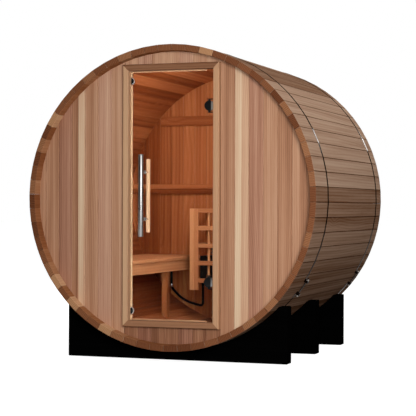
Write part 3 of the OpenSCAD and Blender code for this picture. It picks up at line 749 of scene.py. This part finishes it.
for z, level in zip(HINGE_Z, ("upper", "lower")):
    clamp = Piece(f"hinge_{level}_discs")
    for s in (-1, 1):
        y0, y1 = GLASS_Y + s * DISC_NEAR, GLASS_Y + s * DISC_FAR
        clamp.add(clamp_disc(z, y0, y1, -DISC_R, BAR_SIDE), mat=0)
        clamp.add(clamp_disc(z, y0, y1, BAR_SIDE + BAR_GAP, DISC_SIDE), mat=1)
    z0, z1 = z - KNUCKLE_HALF, z + KNUCKLE_HALF
    clamp.add(rod(KNUCKLE_R, (HINGE_X, GLASS_Y, z0), (HINGE_X, GLASS_Y, z1), 0.001, 24))
    # painted light and shade: both hinges carry the same steel bar; the lower one is drawn in bright steel
    # and the upper one in dark steel, for how the light falls on them
    lit_or_shaded_bar = STEEL if level == "lower" else DARK_STEEL
    clamp.done([BLACK, lit_or_shaded_bar], "door", "black_fitting", [f"hinge_{level}_clamp"], smooth=40)

    plate = Piece(f"hinge_{level}_jamb_bracket")
    lo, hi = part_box(f"hinge_{level}_bracket")
    plate.add(board((OPEN_R, lo[1], lo[2]), (hi[0], hi[1], hi[2]), LUG_EASE, 1))
    for s in (-1, 1):
        zm = z + s * LUG_OFF
        z0, z1 = zm - LUG_HALF, zm + LUG_HALF
        plate.add(rod(LUG_R, (HINGE_X, GLASS_Y, z0), (HINGE_X, GLASS_Y, z1), LUG_EASE, 28))
        near, far = (HINGE_X, GLASS_Y - LUG_DEPTH, z0), (OPEN_R + 0.001, GLASS_Y + LUG_DEPTH, z1)
        plate.add(board(near, far, LUG_EASE, 1))
    plate.done([BLACK], "sauna", "black_fitting", [f"hinge_{level}_bracket"], smooth=40)


# cradles and bands
def cradle_outline(node):
    lo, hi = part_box(node)
    r = RADIUS + PLAY
    a = math.asin((AXIS_Z - hi[2]) / r)
    points = [(lo[0], 0.0), (hi[0], 0.0), (hi[0], hi[2])]
    n = 56
    for k in range(n + 1):
        t = -a - (math.pi - 2 * a) * k / n
        points.append((r * math.cos(t), AXIS_Z + r * math.sin(t)))
    points.append((lo[0], hi[2]))
    return points, lo[1], hi[1]


for where in ("front", "middle", "rear"):
    points, y0, y1 = cradle_outline("cradle_" + where)
    bm = prism(points, y0, y1)
    sharp = [e for e in bm.edges if e.calc_face_angle(0) > math.radians(30)]
    bevel(bm, sharp, 0.004, 2)
    Piece("saddle_cradle_" + where).add(bm, tone=rng.uniform(0.35, 0.55), along="x").done(
        [BLACK_WOOD], "sauna", "cradle_black", ["cradle_" + where])

TENSIONER_ANGLE = math.radians(-35)
BAND_THICK, BOLT_LIFT = 0.0015, 0.011
WASHER_R, WASHER_FROM, NUT_FROM, NUT_TO = 0.0090, 0.0537, 0.0555, 0.0625
for where in ("front", "rear"):
    o = nodes["band_" + where]
    o.data.materials.clear()
    o.data.materials.append(BAND_STEEL)
    lo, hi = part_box("band_" + where)
    ym = (lo[1] + hi[1]) / 2
    out = Vector((math.cos(TENSIONER_ANGLE), 0, math.sin(TENSIONER_ANGLE)))
    tang = Vector((-math.sin(TENSIONER_ANGLE), 0, math.cos(TENSIONER_ANGLE)))
    centre = Vector((0, ym, AXIS_Z)) + out * (OUTER + PLAY + BAND_THICK + PLAY + BOLT_LIFT)
    nuts = Piece("tensioner_nuts_" + where)
    for s in (-1, 1):
        near = centre + tang * (s * NUT_FROM)
        far = centre + tang * (s * NUT_TO)
        hexagon = [(0, 0), (0.0072, 0), (0.0075, 0.0005), (0.0075, 0.0065), (0.0068, 0.007), (0, 0.007)]
        nuts.add(lathe(hexagon, near, far - near, 6))
        nuts.add(rod(WASHER_R, centre + tang * (s * WASHER_FROM), near, 0.0004, 20))
    nuts.done([DARK_STEEL], "sauna", "steel")

# inside: battens and bench
lo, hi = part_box("batten_upper")
batten = Piece("back_batten_upper").add(board(lo, hi, 0.003), tone=0.45, along="x")
batten.done([CEDAR_IN], "sauna", "inner_cedar", ["batten_upper"])
lo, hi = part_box("batten_lower")
BACKING, CAP, CAP_GAP = 0.020, 0.032, 0.0005
rail = Piece("back_rail_lower")
low, top = (lo[0], BACK_IN - BACKING, lo[2]), (hi[0], hi[1], hi[2] - CAP - CAP_GAP)
# painted light and shade: the cap is drawn lighter and the backing under it darker, for the light on the
# cap and the shade beneath it
rail.add(board(low, top, 0.002), tone=0.35, along="x")
rail.add(board((lo[0], lo[1], hi[2] - CAP), hi, 0.005, 3), tone=0.62, along="x")
rail.done([CEDAR_IN], "sauna", "inner_cedar", ["batten_lower"])

lo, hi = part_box("bench_slats")
slat_gap, slat_n = 0.007, 5
slat_w = (hi[0] - lo[0] - slat_gap * (slat_n - 1)) / slat_n
seat = Piece("bench_seat_slats")
for k in range(slat_n):
    x1 = hi[0] - k * (slat_w + slat_gap)
    slat = board((x1 - slat_w, lo[1], lo[2]), (x1, hi[1], hi[2]), 0.004, 3)
    seat.add(slat, tone=rng.uniform(0.62, 0.80), along="y")
seat.done([CEDAR_SEAT], "sauna", "inner_cedar", ["bench_slats"])
lo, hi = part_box("bench_apron")
apron = Piece("bench_apron_board").add(board(lo, hi, 0.003), tone=0.66, along="y")
apron.done([CEDAR_SEAT], "sauna", "inner_cedar", ["bench_apron"])
lo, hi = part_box("bench_leg")
ROOM = INNER - PLAY
xs = [lo[0] + (hi[0] - lo[0]) * k / 6 for k in range(7)]
foot = [(x, AXIS_Z - math.sqrt(ROOM * ROOM - x * x)) for x in xs]
bm = prism(foot + [(hi[0], hi[2]), (lo[0], hi[2])], lo[1], hi[1])
upright = [e for e in bm.edges if abs(e.verts[0].co.z - e.verts[1].co.z) > 0.2]
bevel(bm, upright, 0.003, 2)
Piece("bench_post").add(bm, tone=0.16).done([CEDAR_SEAT], "sauna", "inner_cedar", ["bench_leg"])
lo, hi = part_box("bench_bearers")
LEDGER, BEARER, BEARER_INSET = 0.045, 0.038, 0.180
under = Piece("bench_bearer_set")
under.add(board((lo[0], lo[1], lo[2]), (lo[0] + LEDGER, hi[1], hi[2]), 0.002), tone=0.4, along="y")
span = (hi[1] - lo[1]) - 2 * BEARER_INSET - BEARER
for k in range(3):
    y0 = lo[1] + BEARER_INSET + k * span / 2
    near, far = (lo[0] + LEDGER + PLAY, y0, lo[2]), (hi[0], y0 + BEARER, hi[2])
    under.add(board(near, far, 0.002), tone=0.4, along="x")
under.done([CEDAR_IN], "sauna", "inner_cedar", ["bench_bearers"])

# inside: heater, guard, conduit
lo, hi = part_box("heater_body")
heater = Piece("heater_case")
CASE_BACK = hi[1] - 0.050
heater.add(board((lo[0], lo[1], lo[2]), (hi[0], CASE_BACK, hi[2]), 0.006, 3), mat=0)
BRACKET_Z, BRACKET_HALF, BRACKET_TALL = AXIS_Z - 0.53225, 0.120, 0.120
low, top = (-BRACKET_HALF, CASE_BACK - 0.001, BRACKET_Z), (BRACKET_HALF, hi[1], BRACKET_Z + BRACKET_TALL)
heater.add(board(low, top, 0.002), mat=0)
heater.done([HEATER], "sauna", "heater_black", ["heater_body"])

lo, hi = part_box("heater_stones")
# layers of stones: how many across, how many deep, height of their middles over the case
LAYERS = [(8, 5, 0.020), (7, 4, 0.040)]
MARGIN = 0.024
stones = Piece("heater_stone_heap")
for nx, ny, lift in LAYERS:
    for i in range(nx):
        for j in range(ny):
            bm = bmesh.new()
            bmesh.ops.create_icosphere(bm, subdivisions=2, radius=1.0)
            k = [rng.uniform(0.8, 1.2) for _ in range(3)]
            aims = [Vector([rng.uniform(-1, 1) for _ in range(3)]).normalized() for _ in range(7)]
            bumps = [(aim, rng.uniform(-0.28, 0.15)) for aim in aims]
            size = rng.uniform(0.019, 0.023)
            cx = lo[0] + MARGIN + (hi[0] - lo[0] - 2 * MARGIN) * (i + 0.5) / nx
            cy = lo[1] + MARGIN + (hi[1] - lo[1] - 2 * MARGIN) * (j + 0.5) / ny
            cz = lo[2] + lift
            for v in bm.verts:
                d = v.co.normalized()
                r = 1 + sum(h * max(0.0, d.dot(n)) ** 3 for n, h in bumps)
                p = Vector((d.x * k[0], d.y * k[1], d.z * 0.8 * k[2])) * r * size
                v.co = Vector((
                    min(max(cx + p.x, lo[0]), hi[0]), min(max(cy + p.y, lo[1]), hi[1]),
                    min(max(cz + p.z, lo[2]), hi[2]),
                ))
            stones.add(bm)
stones.done([STONE], "sauna", "heater_stone", ["heater_stones"])

lo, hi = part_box("guard_posts")
GUARD_TOP, RAIL, PITCH = hi[2], 0.029, 0.1185
POST_W, HALF_POST, HALF_PITCH, LATH = 0.062, 0.0308, 0.0312, 0.020
STRIP_X, STRIP_HALF, STRIP_TALL, STRIP_THICK = 0.16, 0.0065, 0.503, 0.013
guard = Piece("heater_guard_posts")
for x0 in (lo[0], hi[0] - POST_W):
    for k in range(2):
        left = x0 + k * HALF_PITCH
        post = board((left, lo[1], lo[2]), (left + HALF_POST, lo[1] + LATH, hi[2]), 0.002)
        guard.add(post, tone=0.72 - 0.14 * k)
for x in (-STRIP_X, STRIP_X):
    low = (x - STRIP_HALF, lo[1] + LATH, GUARD_TOP - STRIP_TALL)
    top = (x + STRIP_HALF, lo[1] + LATH + STRIP_THICK, GUARD_TOP)
    guard.add(board(low, top, 0.001), tone=0.8)
guard.done([CEDAR_SEAT], "sauna", "inner_cedar", ["guard_posts"])
lo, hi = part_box("guard_rails")
rails = Piece("heater_guard_rails")
for k in range(5):
    z1 = GUARD_TOP - k * PITCH
    rail = board((lo[0] + POST_W, lo[1], z1 - RAIL), (hi[0] - POST_W, lo[1] + LATH, z1), 0.002)
    rails.add(rail, tone=rng.uniform(0.40, 0.62), along="x")
    for x0 in (lo[0], hi[0] - LATH):
        rail = board((x0, lo[1] + LATH, z1 - RAIL), (x0 + LATH, hi[1], z1), 0.002)
        rails.add(rail, tone=rng.uniform(0.4, 0.6), along="y")
rails.done([CEDAR_SEAT], "sauna", "inner_cedar", ["guard_rails"])

CONDUIT_R, CONDUIT_BEND, CONDUIT_OFF = 0.009, 0.028, 0.013
COUPLING_R, COUPLING_LOW, COUPLING_TOP = 0.0128, -0.622, -0.597
CONDUIT_Y = BACK_IN - CONDUIT_OFF - PLAY
# corners of the conduit on the back wall, as x and height over the barrel axis
bends = [
    (-0.5626, -0.470), (-0.5626, -0.623), (-0.4926, -0.692), (-0.4326, -0.723),
    (-0.325, -0.750), (-0.325, -0.49225), (-0.1203, -0.49225),
]
cx, cz = bends[0]
route = [(cx, BACK_IN - PLAY, AXIS_Z + cz)] + [(x, CONDUIT_Y, AXIS_Z + z) for x, z in bends]
pipe = Piece("heater_conduit")
pipe.add(tube(route, CONDUIT_R, CONDUIT_BEND))
pipe.done([CONDUIT], "sauna", "conduit_black", ["conduit"], smooth=50)
coupling = Piece("conduit_coupling")
low, top = (cx, CONDUIT_Y, AXIS_Z + COUPLING_LOW), (cx, CONDUIT_Y, AXIS_Z + COUPLING_TOP)
coupling.add(rod(COUPLING_R, low, top, 0.001, 24))
coupling.done([CHROME], "sauna", "steel", smooth=40)

# floor, light, camera
scene = bpy.context.scene
scene.view_settings.view_transform = "Standard"


def seen_ray(tree):
    """1 for a ray from the camera, a reflection or the glass, and 0 for the light that falls on things."""
    path = tree.nodes.new("ShaderNodeLightPath")
    fac = path.outputs["Is Camera Ray"]
    for kind in ("Is Glossy Ray", "Is Transmission Ray"):
        most = tree.nodes.new("ShaderNodeMath")
        most.operation = "MAXIMUM"
        tree.links.new(fac, most.inputs[0])
        tree.links.new(path.outputs[kind], most.inputs[1])
        fac = most.outputs[0]
    return fac


FLOOR_HALF = 60.0
floor_mesh = bpy.data.meshes.new("pale_floor")
floor_corners = [(x * FLOOR_HALF, y * FLOOR_HALF, 0) for x, y in ((-1, -1), (1, -1), (1, 1), (-1, 1))]
floor_mesh.from_pydata(floor_corners, [], [(0, 1, 2, 3)])
floor = bpy.data.objects.new("pale_floor", floor_mesh)
scene.collection.objects.link(floor)
floor_material = bpy.data.materials.new("pale_floor")
floor_material.use_nodes = True
floor_tree = floor_material.node_tree
floor_bsdf = floor_tree.nodes["Principled BSDF"]
floor_bsdf.inputs["Roughness"].default_value = 0.9
floor_bsdf.inputs["Specular IOR Level"].default_value = 0.0
glow = floor_tree.nodes.new("ShaderNodeEmission")
glow.inputs["Color"].default_value = (1, 1, 1, 1)
seen = seen_ray(floor_tree)
shade = floor_tree.nodes.new("ShaderNodeMix")
shade.data_type = "RGBA"
shade.inputs["A"].default_value = (0.14, 0.14, 0.14, 1)
shade.inputs["B"].default_value = (0.45, 0.45, 0.45, 1)
floor_tree.links.new(seen, shade.inputs["Factor"])
floor_tree.links.new(shade.outputs["Result"], floor_bsdf.inputs["Base Color"])
lift = floor_tree.nodes.new("ShaderNodeMath")
lift.operation = "MULTIPLY"
lift.inputs[1].default_value = 0.86
floor_tree.links.new(seen, lift.inputs[0])
floor_tree.links.new(lift.outputs[0], glow.inputs["Strength"])
both = floor_tree.nodes.new("ShaderNodeAddShader")
floor_tree.links.new(floor_bsdf.outputs[0], both.inputs[0])
floor_tree.links.new(glow.outputs[0], both.inputs[1])
floor_tree.links.new(both.outputs[0], floor_tree.nodes["Material Output"].inputs["Surface"])
floor_mesh.materials.append(floor_material)

# dark screens left of the camera and behind the barrel that only show in polished metal
screen_mesh = bpy.data.meshes.new("dark_screen")
left_screen = [(-9, -2, 0), (0.4, -8, 0), (0.4, -8, 6), (-9, -2, 6)]
rear_screen = [(-7, 7.5, 0), (7, 7.5, 0), (7, 7.5, 9), (-7, 7.5, 9)]
screen_mesh.from_pydata(left_screen + rear_screen, [], [(0, 1, 2, 3), (4, 5, 6, 7)])
screen = bpy.data.objects.new("dark_screen", screen_mesh)
scene.collection.objects.link(screen)
dark = Graph("dark_screen")
dark.set(Base_Color=(0.02, 0.02, 0.02, 1), Roughness=1.0, Specular_IOR_Level=0.0)
screen_mesh.materials.append(dark.mat)
screen.visible_camera = False
screen.visible_diffuse = False
screen.visible_transmission = False
screen.visible_shadow = False

world = bpy.data.worlds.new("studio")
scene.world = world
world.use_nodes = True
world_tree = world.node_tree
world_tree.nodes.clear()
world_out = world_tree.nodes.new("ShaderNodeOutputWorld")
sky = world_tree.nodes.new("ShaderNodeBackground")
sky.inputs["Color"].default_value = (1.0, 1.0, 1.0, 1)
sky.inputs["Strength"].default_value = 0.32
white = world_tree.nodes.new("ShaderNodeBackground")
white.inputs["Color"].default_value = (1, 1, 1, 1)
white.inputs["Strength"].default_value = 1.0
world_mix = world_tree.nodes.new("ShaderNodeMixShader")
world_tree.links.new(seen_ray(world_tree), world_mix.inputs[0])
world_tree.links.new(sky.outputs[0], world_mix.inputs[1])
world_tree.links.new(white.outputs[0], world_mix.inputs[2])
world_tree.links.new(world_mix.outputs[0], world_out.inputs["Surface"])


def area(name, pos, target, size, watts, colour=(1, 1, 1), hidden=False):
    """A round lamp that faces a target; a hidden one only lights and isn't seen itself."""
    light = bpy.data.lights.new(name, "AREA")
    light.shape = "DISK"
    light.size = size
    light.energy = watts
    light.color = colour
    o = bpy.data.objects.new(name, light)
    scene.collection.objects.link(o)
    o.location = pos
    o.rotation_euler = (Vector(target) - Vector(pos)).to_track_quat("-Z", "Y").to_euler()
    if hidden:
        o.visible_camera = False
        o.visible_glossy = False
        o.visible_transmission = False


area("key", (2.6, -5.2, 1.6), (0, -0.76, 1.0), 2.2, 220)
area("overhead", (3.2, 0.4, 5.6), (0.3, 0, 1.2), 2.5, 124)
area("rear", (-4.0, 5.5, 4.0), (0, 0.5, 1.0), 2.5, 150)
area("left_side", (-5.0, 1.6, 2.6), (-0.9, 0.0, 1.0), 2.5, 130)
area("band_glint", (1.69, 6.25, 2.744), (0.8, 0, 1.4), 0.66, 36)
area("room_glow", (0.2, -0.5, 1.62), (-0.2, 0.69, 1.35), 0.35, 8.2, (1.0, 0.92, 0.82), hidden=True)
area("room_fill", (0.45, -0.35, 1.15), (-0.3, -0.1, 0.3), 0.4, 1.5, (1.0, 0.92, 0.82), hidden=True)

# the photo's view: picture width and focal length in pixels, sensor width in mm
PICTURE_PX, FOCAL_PX, SENSOR = 416.0, 1396.0, 36.0
# the camera's place in barrel radii: right of the axis, ahead of the front rim, under the axis
CAMERA_RIGHT, CAMERA_AHEAD, CAMERA_UNDER = 3.326, 8.435, 0.065
YAW, ROLL = math.radians(19.85), math.radians(0.17)
camera_data = bpy.data.cameras.new("photo_view")
camera_data.sensor_width = SENSOR
camera_data.lens = FOCAL_PX / PICTURE_PX * SENSOR
camera_data.clip_end = 200.0
camera = bpy.data.objects.new("photo_view", camera_data)
scene.collection.objects.link(camera)
forward = Vector((-math.sin(YAW), math.cos(YAW), 0))
right = Vector((math.cos(YAW), math.sin(YAW), 0))
up = right.cross(forward)
right, up = right * math.cos(ROLL) + up * math.sin(ROLL), up * math.cos(ROLL) - right * math.sin(ROLL)
camera.matrix_world = Matrix((
    (right.x, up.x, -forward.x, CAMERA_RIGHT * RADIUS),
    (right.y, up.y, -forward.y, -HALF_LENGTH - CAMERA_AHEAD * RADIUS),
    (right.z, up.z, -forward.z, AXIS_Z - CAMERA_UNDER * RADIUS),
    (0, 0, 0, 1),
))
scene.camera = camera
